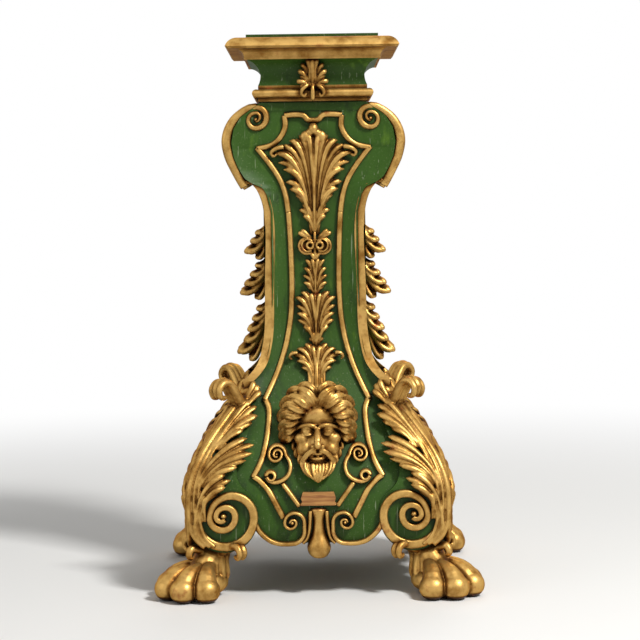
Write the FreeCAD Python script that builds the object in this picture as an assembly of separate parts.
import math
import os

import FreeCAD
import Part

Vector = FreeCAD.Vector

# Cornice, from the top down: half widths of the square plan and heights, in mm.
topPlateHalf = 130.0
topPlateThick = 7.0
abacusTopHalf = 146.0
abacusHalf = 170.0
abacusThick = 22.0
bedTopHalf = 150.0
bedHalf = 134.0
bedThick = 20.0
coveTopHalf = 129.0
coveWaistHalf = 103.0
coveFootHalf = 108.0
coveThick = 50.0
neckHalf = 108.0
neckNoseHalf = 120.0
neckFilletThick = 8.0
neckNoseThick = 15.0

# Square shaft and flared lower body.
panelDepth = 90.0
boardThick = 24.0
glueLine = 0.3
relief = 10.0
flareTop = 560.0
shaftHeight = 403.0
bodyFoot = 104.0
railWidth = 18.0
hipTop = 378.0

# Ears of the front and back boards.
earThick = 20.0
earRimProud = 8.0
earRimWidth = 15.0

# Lower volute of each leg.
voluteX = 182.0
voluteZ = 152.0
voluteRadius = 64.0
voluteProud = 7.0

# Corner leaves, feet and loose fittings.
leafThick = 11.0
footReach = 318.0
ankleAt = 208.0
dowelRadius = 8.0
dowelLength = 60.0

bodyTop = flareTop + shaftHeight
coveFoot = bodyTop + 2.0 * neckFilletThick + neckNoseThick
bedFoot = coveFoot + coveThick
abacusFoot = bedFoot + bedThick
abacusTop = abacusFoot + abacusThick
totalHeight = abacusTop + topPlateThick
coreHalf = panelDepth - boardThick

# Reach of a blank before it is cut to shape, clear of every piece.
blank = 400.0


def shaft(share):
    """Height of a point on the shaft, from 0 at the flare to 1 at the neck."""
    return flareTop + share * shaftHeight


def on_shaft(points):
    return [(out, shaft(share)) for out, share in points]


# Depth of a face from the axis, as (depth, height), from the shaft to the foot of the apron.
flareCurve = [
    (panelDepth, flareTop),
    (panelDepth + 2.0, 500.0),
    (panelDepth + 8.0, 468.0),
    (panelDepth + 18.0, 430.0),
    (panelDepth + 44.0, 378.0),
    (panelDepth + 72.0, 338.0),
    (panelDepth + 100.0, 300.0),
    (panelDepth + 122.0, 266.0),
    (panelDepth + 138.0, 230.0),
    (panelDepth + 148.0, 197.0),
    (panelDepth + 152.0, 160.0),
    (panelDepth + 150.0, bodyFoot),
]

# Outer edge of the corner rail, from under the ear to the hip.
railCurve = [
    (panelDepth + relief, bodyTop - 218.0),
    (panelDepth + relief, shaft(0.149)),
    (panelDepth + relief + 1.0, flareTop),
    (panelDepth + relief + 4.0, 498.0),
    (panelDepth + relief + 9.0, 469.0),
    (panelDepth + relief + 16.0, 446.0),
    (panelDepth + relief + 28.0, 428.0),
    (panelDepth + relief + 46.0, 411.0),
]
railCurl = [(123.0, bodyTop - 164.0), (112.0, bodyTop - 178.0), (104.0, bodyTop - 196.0)]

# Outer edge of a leg from the hip to the widest point of its volute.
legCurve = [
    (146.0, hipTop),
    (162.0, 360.0),
    (179.0, 338.0),
    (206.0, 302.0),
    (227.0, 266.0),
    (240.0, 232.0),
    (voluteX + voluteRadius, voluteZ + 0.85 * voluteRadius),
]
legInner = [(138.0, 205.0), (158.0, 245.0), (150.0, 280.0), (134.0, 320.0), (120.0, hipTop)]

# Lower edge of the front board from its middle to the volute.
apronCurve = [
    (0.0, bodyFoot + 6.0), (24.0, bodyFoot), (62.0, 98.0), (86.0, 103.0), (106.0, 118.0),
    (124.0, 142.0),
]
apronEye = (57.0, 136.0)

# Ear outline from its scroll to its lower tip, and the eye of the scroll.
earCurve = [
    (120.0, bodyTop - 4.0),
    (147.0, bodyTop - 13.0),
    (167.0, bodyTop - 33.0),
    (179.0, bodyTop - 56.0),
    (183.0, bodyTop - 81.0),
    (177.0, bodyTop - 114.0),
    (166.0, bodyTop - 138.0),
    (152.0, bodyTop - 160.0),
    (143.0, bodyTop - 172.0),
]
earEye = (114.0, bodyTop - 33.0)
earRoll = 27.0

# Inner bead of a face, right-hand half, cusp to cusp.
beadWidth = 8.0
beadProud = 7.0
beadTop = on_shaft([(0.0, 0.906), (22.0, 0.911), (57.0, 0.923)])
earBeadHead = [
    on_shaft([(57.0, 0.923), (56.0, 0.876), (66.0, 0.824), (84.0, 0.787), (112.0, 0.772)]),
    on_shaft([(112.0, 0.772), (102.0, 0.742), (84.0, 0.682), (67.0, 0.613), (57.0, 0.538), (52.0, 0.454)]),
]
plainBeadHead = [on_shaft([(57.0, 0.923), (57.0, 0.744), (55.0, 0.596), (52.0, 0.454)])]
beadRuns = [
    [
        (52.0, shaft(0.454)), (49.0, shaft(0.323)), (47.0, shaft(0.124)), (49.0, 549.0),
        (54.0, 511.0), (62.0, 474.0),
    ],
    [(62.0, 474.0), (73.0, 440.0), (86.0, 409.0), (103.0, 375.0)],
    [(103.0, 375.0), (95.0, 355.0), (97.0, 318.0), (104.0, 280.0), (113.0, 256.0), (125.0, 233.0)],
    [(125.0, 233.0), (112.0, 225.0), (96.0, 207.0), (81.0, 179.0), (68.0, 154.0)],
]

# Carved leaves: notches between the lobes and the tips of the lobes.
flowerNotches = [(0.0, bedFoot), (26.0, coveFoot + 26.0), (20.0, coveFoot - 4.0), (0.0, bodyTop)]
flowerTips = [(29.0, bedFoot - 4.0), (31.0, coveFoot + 10.0), (16.0, bodyTop + 9.0)]
crownNotches = on_shaft([
    (0.0, 0.804), (60.0, 0.710), (46.0, 0.610), (34.0, 0.526), (24.0, 0.476), (0.0, 0.347),
])
crownTips = on_shaft([(74.0, 0.784), (66.0, 0.633), (49.0, 0.546), (36.0, 0.486), (24.0, 0.387)])
smallNotches = on_shaft([(0.0, 0.248), (20.0, 0.169), (14.0, 0.099), (0.0, 0.035)])
smallTips = on_shaft([(23.0, 0.211), (25.0, 0.129), (13.0, 0.055)])
middleNotches = [(0.0, shaft(0.060)), (31.0, 548.0), (24.0, 510.0), (0.0, 474.0)]
middleTips = [(36.0, shaft(0.030)), (41.0, 526.0), (20.0, 486.0)]
calyxNotches = [(0.0, 484.0), (44.0, 450.0), (22.0, 426.0), (18.0, 398.0)]
calyxTips = [(48.0, 474.0), (38.0, 436.0), (22.0, 412.0)]
leafNotches = [
    (132.0, hipTop), (154.0, 326.0), (156.0, 268.0), (184.0, 226.0), (214.0, 196.0),
    (246.0, 152.0),
]
leafTips = [(128.0, 346.0), (134.0, 297.0), (156.0, 238.0), (190.0, 202.0), (220.0, 167.0)]
hipCurl = [
    (200.0, 352.0),
    (222.0, 372.0),
    (240.0, 400.0),
    (254.0, 414.0),
    (270.0, 414.0),
    (280.0, 401.0),
    (275.0, 386.0),
    (261.0, 385.0),
]

# Mask sections as height, half width and standing-out from the panel.
maskRings = [
    (396.0, 24.0, 28.0),
    (380.0, 56.0, 50.0),
    (348.0, 64.0, 66.0),
    (315.0, 60.0, 70.0),
    (285.0, 54.0, 68.0),
    (258.0, 40.0, 60.0),
    (236.0, 22.0, 46.0),
    (216.0, 5.0, 24.0),
]
toeRadius = 16.0
toePitch = 22.0
footWidth = 76.0

# Hanging leaves of the side faces as top, foot and reach of the tip.
pendantSizes = [
    (shaft(0.382), shaft(0.226), 143.0), (shaft(0.211), shaft(0.022), 151.0),
    (shaft(0.007), 438.0, 161.0),
]


def curve(points):
    line = Part.BSplineCurve()
    line.interpolate([Vector(a, 0, b) for a, b in points])
    return line.toShape()


def line(start, end):
    return Part.makeLine(Vector(start[0], 0, start[1]), Vector(end[0], 0, end[1]))


def arc(start, middle, end):
    points = [Vector(a, 0, b) for a, b in (start, middle, end)]
    return Part.Arc(*points).toShape()


def face(edges):
    return Part.Face(Part.Wire(Part.__sortEdges__(edges)))


def polygon(points):
    loop = list(points) + [points[0]]
    return face([line(a, b) for a, b in zip(loop, loop[1:])])


def through(outline, near, far):
    """Solid of a front-elevation outline between two distances in front of the axis."""
    solid = outline.extrude(Vector(0, near - far, 0))
    solid.translate(Vector(0, -near, 0))
    return solid


def turned(shape, degrees):
    copy = shape.copy()
    copy.rotate(Vector(0, 0, 0), Vector(0, 0, 1), degrees)
    return copy


def mirrored(shape, x, y):
    return shape.mirror(Vector(0, 0, 0), Vector(x, y, 0))


def square(edges):
    """Square moulding with mitred corners from the edges of its right-hand profile."""
    wire = Part.Wire(Part.__sortEdges__(edges))
    ends = wire.OrderedVertexes
    other = mirrored(wire, 1, 0)
    top = ends[0].Point
    foot = ends[-1].Point
    closing = [
        Part.makeLine(top, Vector(-top.x, 0, top.z)),
        Part.makeLine(foot, Vector(-foot.x, 0, foot.z)),
    ]
    bar = through(face(wire.Edges + other.Edges + closing), blank, -blank)
    return bar.common(turned(bar, 90.0))


def block(half, foot, top):
    return Part.makeBox(2 * half, 2 * half, top - foot, Vector(-half, -half, foot))


def top_plate():
    return block(topPlateHalf, abacusTop, totalHeight)


def abacus_board():
    nose = abacusFoot + 4.0
    curved = arc(
        (abacusTopHalf, abacusTop),
        (abacusHalf - 7.0, abacusTop - 7.0),
        (abacusHalf, nose),
    )
    under = line((abacusHalf, nose), (abacusHalf - 4.0, abacusFoot))
    return square([curved, under])


def bed_moulding():
    step = bedFoot + 5.0
    curved = arc((bedTopHalf, abacusFoot), (bedHalf + 3.0, step + 8.0), (bedHalf, step))
    lower = line((bedHalf, step), (bedHalf, bedFoot))
    return square([curved, lower])


def cornice_cove():
    middle = (coveWaistHalf, coveFoot + 0.4 * coveThick)
    upper = arc((coveTopHalf, bedFoot), (coveWaistHalf + 7.0, bedFoot - 0.24 * coveThick), middle)
    lower = arc(middle, (coveWaistHalf + 1.5, coveFoot + 0.18 * coveThick), (coveFootHalf, coveFoot))
    return square([upper, lower])


def neck_moulding():
    noseTop = coveFoot - neckFilletThick
    noseFoot = noseTop - neckNoseThick
    edges = [
        line((neckHalf, coveFoot), (neckHalf, noseTop)),
        arc(
            (neckHalf, noseTop),
            (neckNoseHalf, noseTop - 0.5 * neckNoseThick),
            (neckHalf, noseFoot),
        ),
        line((neckHalf, noseFoot), (neckHalf, bodyTop)),
    ]
    return square(edges)


def moved(points, out):
    return [(a + out, b) for a, b in points]


def skin(inner, outer, head=None):
    """Layer of a front face between two offsets from its depth curve."""
    top = bodyTop if head is None else head
    front = moved(flareCurve, outer)
    back = moved(flareCurve, inner)
    edges = [
        line((front[0][0], top), front[0]),
        curve(front),
        line(front[-1], back[-1]),
        curve(back),
        line(back[0], (back[0][0], top)),
        line((back[0][0], top), (front[0][0], top)),
    ]
    layer = through(face(edges), blank, -blank)
    layer.rotate(Vector(0, 0, 0), Vector(0, 0, 1), -90.0)
    return layer


def leg_layer(inner, outer):
    """Layer of a leg's front face between two offsets, flat below the middle of its volute."""
    front = moved(legCurve, outer)
    back = moved(legCurve, inner)
    low = voluteZ - 1.5 * voluteRadius
    edges = [
        curve(front),
        line(front[-1], (front[-1][0], low)),
        line((front[-1][0], low), (back[-1][0], low)),
        line((back[-1][0], low), back[-1]),
        curve(back),
        line(back[0], front[0]),
    ]
    layer = through(face(edges), blank, -blank)
    layer.rotate(Vector(0, 0, 0), Vector(0, 0, 1), -90.0)
    return layer


def leg():
    """Leg of the front right corner: a scroll board on each face, mitred into one block."""
    low = voluteZ - voluteRadius
    outer = (voluteX + voluteRadius, voluteZ)
    edges = [
        line(legInner[-1], legCurve[0]),
        curve(legCurve),
        line(legCurve[-1], outer),
        arc(outer, (voluteX, low), (voluteX - voluteRadius, voluteZ)),
        arc((voluteX - voluteRadius, voluteZ), (121.0, 183.0), legInner[0]),
        curve(legInner),
    ]
    return folded(face(edges), leg_layer(-2.0 * voluteRadius, 0.0))


def folded(outline, layer):
    """Corner piece alike on the front and the side, met at the mitre of the front right arris."""
    corners = [Vector(0, 0, 0), Vector(blank, -blank, 0), Vector(0, -blank, 0), Vector(0, 0, 0)]
    wedge = Part.Face(Part.makePolygon(corners)).extrude(Vector(0, 0, totalHeight))
    half = through(outline, blank, 0.0).common(layer).common(wedge)
    return half.fuse(mirrored(half, 1, 1)).removeSplitter()


def band(outer, inner):
    edges = [curve(outer), line(outer[-1], inner[-1]), curve(inner), line(inner[0], outer[0])]
    return edges


def rail():
    """Corner rail of the front right arris, with its curled head under the ear."""
    foot = (140.0, hipTop)
    inside = (120.0, hipTop)
    lowerIn = [(a - railWidth, b - 2.0) for a, b in railCurve]
    plainTop = (railCurve[0][0], railCurl[0][1])
    plainIn = (railCurve[0][0] - railWidth, railCurl[0][1])
    curledIn = [(a - 13.0, b + 6.0) for a, b in railCurl[:2]] + [(88.0, bodyTop - 193.0)]
    ends = [line(railCurve[-1], foot), line(foot, inside), line(inside, lowerIn[-1])]
    wide = face(
        [curve(railCurl + railCurve)]
        + ends
        + [curve(curledIn + lowerIn), line(curledIn[0], railCurl[0])]
    )
    plain = face(
        [line(plainTop, railCurve[0]), curve(railCurve)]
        + ends
        + [curve(lowerIn), line(lowerIn[0], plainIn), line(plainIn, plainTop)]
    )
    return through(wide, blank, -50.0).common(mirrored(through(plain, blank, -50.0), 1, 1))


def depthAt(height):
    """Distance of a face from the axis at a height, straight between the points of its curve."""
    if height >= flareTop:
        return panelDepth
    for (a, top), (b, foot) in zip(flareCurve, flareCurve[1:]):
        if height >= foot:
            return b + (a - b) * (height - foot) / (top - foot)
    return flareCurve[-1][0]


def joined(shapes):
    return shapes[0].multiFuse(shapes[1:]).removeSplitter()


def less(shape, cutters):
    for cutter in cutters:
        shape = shape.cut(cutter)
    return shape


def both(shape):
    return joined([shape, mirrored(shape, 1, 0)])


def offset(points, distance):
    """Points moved sideways, to the left of the way the line runs."""
    out = []
    for i, (a, b) in enumerate(points):
        before = points[max(i - 1, 0)]
        after = points[min(i + 1, len(points) - 1)]
        run = (after[0] - before[0], after[1] - before[1])
        size = math.hypot(*run)
        out.append((a - distance * run[1] / size, b + distance * run[0] / size))
    return out


def ribbon(points, width):
    """Outline of an even band whose middle runs through the points."""
    left = offset(points, 0.5 * width)
    right = offset(points, -0.5 * width)
    return face(band(left, right))


def scroll(start, radius, width, shrink, halves, first, hand):
    """Outline of a band that winds inward in half circles from a point on its outer edge."""
    angle = math.radians(first)
    way = Vector(math.cos(angle), 0, math.sin(angle))
    turn = Vector(-hand * way.z, 0, hand * way.x)
    point = Vector(start[0], 0, start[1])
    edges = [Part.makeLine(point, point - way * width)]
    for i in range(halves):
        middle = point - way * radius
        for reach in (radius, radius - width):
            ends = (middle + way * reach, middle + turn * reach, middle - way * reach)
            edges.append(Part.Arc(*ends).toShape())
        point = middle - way * radius
        way = way * -1.0
        turn = turn * -1.0
        radius -= shrink
    edges.append(Part.makeLine(point, point - way * width))
    return face(edges)


def disc(x, z, radius, near, far):
    return Part.makeCylinder(radius, far - near, Vector(x, -near, z), Vector(0, -1, 0))


def lobed(notches, tips):
    """Leaf outline: round lobes from notch to notch on the right, and the same on the left."""
    right = [arc(a, tip, b) for a, tip, b in zip(notches, tips, notches[1:])]
    left = [mirrored(edge, 1, 0) for edge in right]
    closing = []
    for x, z in (notches[0], notches[-1]):
        if x:
            closing.append(line((x, z), (-x, z)))
    return face(right + left + closing)


def panel(cutters):
    """Front board, mitred to its neighbours, with the apron curve at its foot."""
    reach = 300.0
    tip = Vector(0, -glueLine, 0)
    corners = [tip, tip + Vector(reach, -reach, 0), tip + Vector(-reach, -reach, 0)]
    wedge = Part.Face(Part.makePolygon(corners + corners[:1]))
    board = skin(-boardThick, 0.0).common(wedge.extrude(Vector(0, 0, totalHeight)))
    side = apronCurve[-1][1]
    edges = [curve(apronCurve), mirrored(curve(apronCurve), 1, 0)]
    outer = [apronCurve[-1], (reach, side), (reach, totalHeight)]
    outer += [(-a, b) for a, b in reversed(outer)]
    edges += [line(a, b) for a, b in zip(outer, outer[1:])]
    return less(board.common(through(face(edges), reach, 0.0)), cutters)


def ear():
    """Green board of the front right ear."""
    inset = offset(earCurve, -0.5 * earRimWidth)
    tip = (112.0, bodyTop - 154.0)
    low = [inset[-1], tip, (panelDepth, bodyTop - 150.0), (panelDepth, bodyTop - 4.0), inset[0]]
    edges = [curve(inset)] + [line(a, b) for a, b in zip(low, low[1:])]
    front = panelDepth + 2.0
    return through(face(edges), front - earThick, front)


def ear_rim(board):
    """Gilt band around the ear and its scroll, grooved over the edge of the board."""
    middle = offset(earCurve, -0.5 * earRimWidth)
    front = panelDepth + relief
    back = panelDepth + 2.0 - earThick - earRimProud
    head = (earEye[0], earCurve[0][1])
    edge = through(ribbon(middle, earRimWidth), back, front)
    roll = through(scroll(head, earRoll, 8.0, 7.0, 3, 90.0, 1), back, front)
    eye = disc(earEye[0], earEye[1], 9.0, back, front)
    (left, top), right = head, earCurve[0][0] + 4.0
    neck = polygon([(left - 2.0, top), (right, top - 1.5), (right, top - 9.0), (left - 2.0, top - 8.0)])
    return less(joined([edge, roll, eye, through(neck, back, front)]), [board])


def bead(head, cutters):
    """Inner gilt bead of a face, from its head to the rolls of the apron."""
    runs = [ribbon(run, beadWidth) for run in head + beadRuns]
    top = ribbon([(-a, b) for a, b in reversed(beadTop[1:])] + beadTop, beadWidth)
    layer = skin(0.0, beadProud)
    right = joined([through(run, blank, 0.0) for run in runs])
    ring = joined([right, mirrored(right, 1, 0), through(top, blank, 0.0)])
    return less(ring.common(layer), cutters)


def volutes():
    """Gilt scrolls on the two outer faces of the front right leg."""
    depth = voluteX + voluteRadius
    start = (depth - 2.0, voluteZ)
    band = scroll(start, voluteRadius - 2.0, 14.0, 18.0, 3, 0.0, -1)
    near = (depth, depth + voluteProud)
    front = joined([through(band, *near), disc(voluteX + 8.0, voluteZ + 4.0, 14.0, *near)])
    return Part.makeCompound([front, mirrored(front, 1, 1)])


def corner_leaf(cutters):
    """Acanthus leaf folded over the arris of the front right leg, with its curl at the hip."""
    lobes = [arc(a, tip, b) for a, tip, b in zip(leafNotches, leafTips, leafNotches[1:])]
    outer = moved(legCurve, leafThick)
    foot = (outer[-1][0], leafNotches[-1][1])
    edges = lobes + [curve(outer), line(leafNotches[0], outer[0])]
    edges += [line(outer[-1], foot), line(foot, leafNotches[-1])]
    layer = leg_layer(-2.0 * voluteRadius, leafThick).common(skin(0.0, 2.0 * voluteRadius))
    leaf = folded(face(edges), layer)
    stem = through(ribbon(hipCurl, 12.0), 17.0, -17.0)
    stem.rotate(Vector(0, 0, 0), Vector(0, 0, 1), -45.0)
    return less(joined([leaf, stem]), cutters)


def paw(cutters):
    """Lion's paw under the front right leg, toes side by side along the diagonal."""
    heel = ankleAt * math.sqrt(2.0)
    tip = (footReach - toeRadius) * math.sqrt(2.0) - toePitch
    ball = tip - 42.0
    half = 0.5 * footWidth
    rise = voluteZ - 0.45 * voluteRadius - 32.0
    pad = Part.makeCylinder(half, 34.0, Vector(ball, 0, 0))
    instep = math.hypot(ball - heel, 8.0)
    back = Vector(0.5 * (heel + ball - instep), 8.0 - half, 0)
    sole = Part.makeBox(instep, footWidth - 16.0, 28.0, back)
    solids = [
        Part.makeCone(half, 29.0, rise, Vector(heel + 18.0, 0, 32.0), Vector(-0.18, 0, 1)),
        Part.makeSphere(half + 4.0, Vector(heel + 50.0, 0, 30.0)),
        Part.makeSphere(28.0, Vector(heel + 2.0, 0, 24.0)),
        pad,
        sole,
    ]
    for place in (-1.5, -0.5, 0.5, 1.5):
        reach = tip if abs(place) < 1.0 else tip - 0.5 * toePitch
        side = place * toePitch
        solids.append(Part.makeSphere(toeRadius, Vector(reach, side, toeRadius - 2.0)))
        knuckle = Vector(reach - 40.0, side, 36.0)
        solids.append(Part.makeCylinder(toeRadius, 34.0, knuckle, Vector(1, 0, -0.5)))
    foot = joined(solids)
    floor = Part.makeBox(2 * blank, blank, totalHeight, Vector(0, -0.5 * blank, 0))
    return less(turned(foot.common(floor), -45.0), cutters)


def carving(notches, tips, thick, ribHalf):
    """Flat leaf on the front face, with a raised midrib."""
    leaf = through(lobed(notches, tips), blank, 0.0).common(skin(0.0, thick))
    top = notches[0][1] - 8.0
    foot = notches[-1][1] + 6.0
    half = 0.4 * ribHalf
    rib = through(polygon([(-ribHalf, top), (ribHalf, top), (half, foot), (-half, foot)]), blank, 0.0)
    return joined([leaf, rib.common(skin(0.0, thick + 7.0))])


def rosette():
    lobes = [disc(x, shaft(0.290), 20.0, 0.0, blank) for x in (-16.0, 16.0)]
    lobes.append(disc(0.0, shaft(0.323), 13.0, 0.0, blank))
    return joined(lobes).common(skin(0.0, 16.0))


def neck_flower(cutters):
    back = coveWaistHalf - 13.0
    leaf = through(lobed(flowerNotches, flowerTips), back, bedHalf - 6.0)
    top = bedFoot - 6.0
    foot = bodyTop + 6.0
    rib = polygon([(-9.0, top), (9.0, top), (5.0, foot), (-5.0, foot)])
    return less(joined([leaf, through(rib, back, bedHalf)]), cutters)


def mask(cutters):
    """Grotesque mask: an egg-shaped head with hair, brow, nose, mouth and pointed beard."""
    rings = []
    for height, half, proud in maskRings:
        back = depthAt(height) - 12.0
        points = []
        for i in range(10):
            angle = 2.0 * math.pi * i / 10.0
            points.append(Vector(half * math.cos(angle), -back - proud * math.sin(angle), height))
        ring = Part.BSplineCurve()
        ring.interpolate(points, PeriodicFlag=True)
        rings.append(Part.Wire(ring.toShape()))
    head = Part.makeLoft(rings, True).common(skin(0.0, 200.0))
    solids = [head]
    for i in range(9):
        angle = math.pi * i / 8.0
        height = 338.0 + 42.0 * math.sin(angle)
        place = Vector(58.0 * math.cos(angle), -depthAt(height) - 14.0, height)
        solids.append(Part.makeSphere(18.0, place))
    front = depthAt(325.0) + 34.0
    solids.append(Part.makeCone(13.0, 5.0, 44.0, Vector(0, -front - 16.0, 296.0), Vector(0, 0.34, 1)))
    solids.append(Part.makeCylinder(8.0, 68.0, Vector(-34.0, -front - 6.0, 342.0), Vector(1, 0, 0)))
    mouth = Part.makeSphere(15.0, Vector(0, -depthAt(272.0) - 52.0, 274.0))
    return less(joined(solids), [mouth] + cutters)


def cartouche_frame(cutters):
    strap = [(58.0, 288.0), (66.0, 262.0), (80.0, 246.0), (88.0, 234.0), (80.0, 222.0), (64.0, 212.0)]
    solids = [
        through(ribbon(strap + [(36.0, 180.0)], 11.0), blank, 0.0),
        disc(76.0, 278.0, 15.5, 0.0, blank),
        disc(87.0, 231.0, 10.0, 0.0, blank),
    ]
    return Part.makeCompound(less(both(joined(solids)).common(skin(0.0, 15.0)), cutters).Solids)


def cartouche_plate(cutters):
    outline = polygon([(-30.0, 203.0), (30.0, 203.0), (38.0, 178.0), (-38.0, 178.0)])
    return less(through(outline, blank, 0.0).common(skin(0.0, 9.0)), cutters)


def apron_rim(cutters):
    """Gilt edge of the apron with the pair of small scrolls."""
    edge = offset(apronCurve, 4.0)
    solids = [
        through(ribbon(edge[1:], 8.0), blank, 0.0),
        disc(apronEye[0], apronEye[1], 20.0, 0.0, blank),
        through(polygon([(20.0, 108.0), (60.0, 104.0), (60.0, 120.0), (20.0, 124.0)]), blank, 0.0),
    ]
    return less(both(joined(solids)).common(skin(0.0, 11.0)), cutters)


def apron_drop(cutters):
    at = depthAt(bodyFoot) - 4.0
    profile = [
        (0.1, 168.0), (8.0, 160.0), (11.0, 140.0), (22.5, 112.0), (17.0, 90.0), (7.0, 80.0),
        (0.1, 74.0),
    ]
    half = face([curve(profile), line(profile[-1], profile[0])])
    drop = half.revolve(Vector(0, 0, 0), Vector(0, 0, 1), 360.0)
    drop.translate(Vector(0, -at, 0))
    return less(drop, cutters)


def pendants(cutters):
    """Three hanging leaves on the right-hand face."""
    leaves = []
    for top, foot, tip in pendantSizes:
        root = depthAt(0.5 * (top + foot)) - 6.0
        fall = top - foot
        outer = [(root, top), (0.55 * (root + tip), top - 0.18 * fall), (tip, foot)]
        inner = [(tip, foot), (0.5 * (root + tip), foot + 0.24 * fall), (root, foot + 0.12 * fall)]
        hook = through(face([curve(outer), curve(inner), line(inner[-1], outer[0])]), 24.0, -24.0)
        leaves.append(less(hook, cutters))
    return Part.makeCompound(leaves)


def core_post():
    return block(coreHalf, flareTop, bodyTop)


def base_board(cutters):
    half = depthAt(300.0) - boardThick
    return less(block(half, 296.0, 316.0), cutters)


def foot_dowel():
    at = voluteX + 6.0
    return Part.makeCylinder(dowelRadius, dowelLength, Vector(at, -at, 66.0))


def top_dowel():
    return Part.makeCylinder(2.0 * dowelRadius, 130.0, Vector(0, 0, bodyTop - 45.0))


corners = {"front_right": 0.0, "back_right": 90.0, "back_left": 180.0, "front_left": -90.0}
sides = {"front": 0.0, "right": 90.0, "back": 180.0, "left": -90.0}
parts = {}

rightLeg = leg()
legs = {name: turned(rightLeg, angle) for name, angle in corners.items()}
rightRail = rail()
rails = {
    "front_right": rightRail,
    "front_left": mirrored(rightRail, 1, 0),
    "back_right": mirrored(rightRail, 0, 1),
    "back_left": turned(rightRail, 180.0),
}
flank = [rails["front_right"], rails["front_left"], legs["front_right"], legs["front_left"]]
frontPanel = panel(flank)
sidePanel = panel([turned(rails[name], -90.0) for name in ("front_right", "back_right")] + flank[2:])
panels = {
    "front": frontPanel,
    "right": turned(sidePanel, 90.0),
    "back": turned(frontPanel, 180.0),
    "left": mirrored(turned(sidePanel, 90.0), 1, 0),
}
rightEar = ear()
rightEarRim = ear_rim(rightEar).cut(panels["right"])
earPlaces = {
    "front_right": lambda shape: shape,
    "front_left": lambda shape: mirrored(shape, 1, 0),
    "back_right": lambda shape: mirrored(shape, 0, 1),
    "back_left": lambda shape: turned(shape, 180.0),
}
dowel = foot_dowel()
dowels = {name: turned(dowel, angle) for name, angle in corners.items()}
centre = top_dowel()
earCutters = [rightEar, mirrored(rightEar, 1, 0)] + flank[:2]
frontBead = bead(earBeadHead, earCutters)
sideBead = bead(plainBeadHead, flank[:2])
rightVolutes = volutes()
leafCutters = [rightLeg, rightVolutes, rails["front_right"], frontPanel, panels["right"]]
cornerLeaf = corner_leaf(leafCutters)
rightPaw = paw([rightLeg, dowel])

parts["top_plate"] = top_plate()
parts["abacus_board"] = abacus_board()
parts["bed_moulding"] = bed_moulding().cut(centre)
parts["cornice_cove"] = cornice_cove().cut(centre)
parts["neck_moulding"] = neck_moulding().cut(centre)
top = [parts[name] for name in ("bed_moulding", "cornice_cove", "neck_moulding")]
parts["neck_flower"] = neck_flower(top)
for name in corners:
    parts["leg_" + name] = legs[name].cut(dowels[name])
    parts["corner_rail_" + name] = rails[name]
    parts["leg_volutes_" + name] = turned(rightVolutes, corners[name])
    parts["corner_leaf_" + name] = turned(cornerLeaf, corners[name])
    parts["paw_foot_" + name] = turned(rightPaw, corners[name])
    parts["ear_board_" + name] = earPlaces[name](rightEar)
    parts["ear_rim_" + name] = earPlaces[name](rightEarRim)
for name, angle in sides.items():
    parts["panel_" + name] = panels[name]
    parts["panel_bead_" + name] = turned(frontBead if name in ("front", "back") else sideBead, angle)
parts["leaf_bud"] = disc(0.0, shaft(0.861), 14.0, panelDepth, panelDepth + 16.0)
parts["crown_leaf"] = less(carving(crownNotches, crownTips, 11.0, 12.0), [frontBead, parts["leaf_bud"]])
parts["scroll_rosette"] = rosette().cut(parts["crown_leaf"])
parts["small_leaf"] = carving(smallNotches, smallTips, 10.0, 6.0).cut(parts["scroll_rosette"])
parts["middle_leaf"] = carving(middleNotches, middleTips, 10.0, 8.0).cut(parts["small_leaf"])
parts["calyx_leaf"] = carving(calyxNotches, calyxTips, 11.0, 9.0).cut(parts["middle_leaf"])
parts["mask"] = mask([frontPanel, parts["calyx_leaf"]])
parts["cartouche_frame"] = cartouche_frame([frontBead, parts["mask"]])
parts["cartouche_plate"] = cartouche_plate([parts["cartouche_frame"], parts["mask"]])
parts["apron_drop"] = apron_drop([frontPanel])
parts["apron_rim"] = apron_rim([frontBead, parts["apron_drop"], rightVolutes, flank[2], flank[3]])
pendantsRight = pendants([panels["right"]])
parts["pendants_right"] = pendantsRight
parts["pendants_left"] = mirrored(pendantsRight, 1, 0)
parts["core_post"] = core_post().cut(centre)
parts["base_board"] = base_board(list(panels.values()) + list(legs.values()))
parts["foot_dowels"] = Part.makeCompound(list(dowels.values()))
parts["top_dowel"] = centre

os.makedirs("parts", exist_ok=True)
for name, shape in parts.items():
    print(name, shape.isValid(), len(shape.Solids), round(shape.Volume))
    shape.exportStep("parts/" + name + ".step")
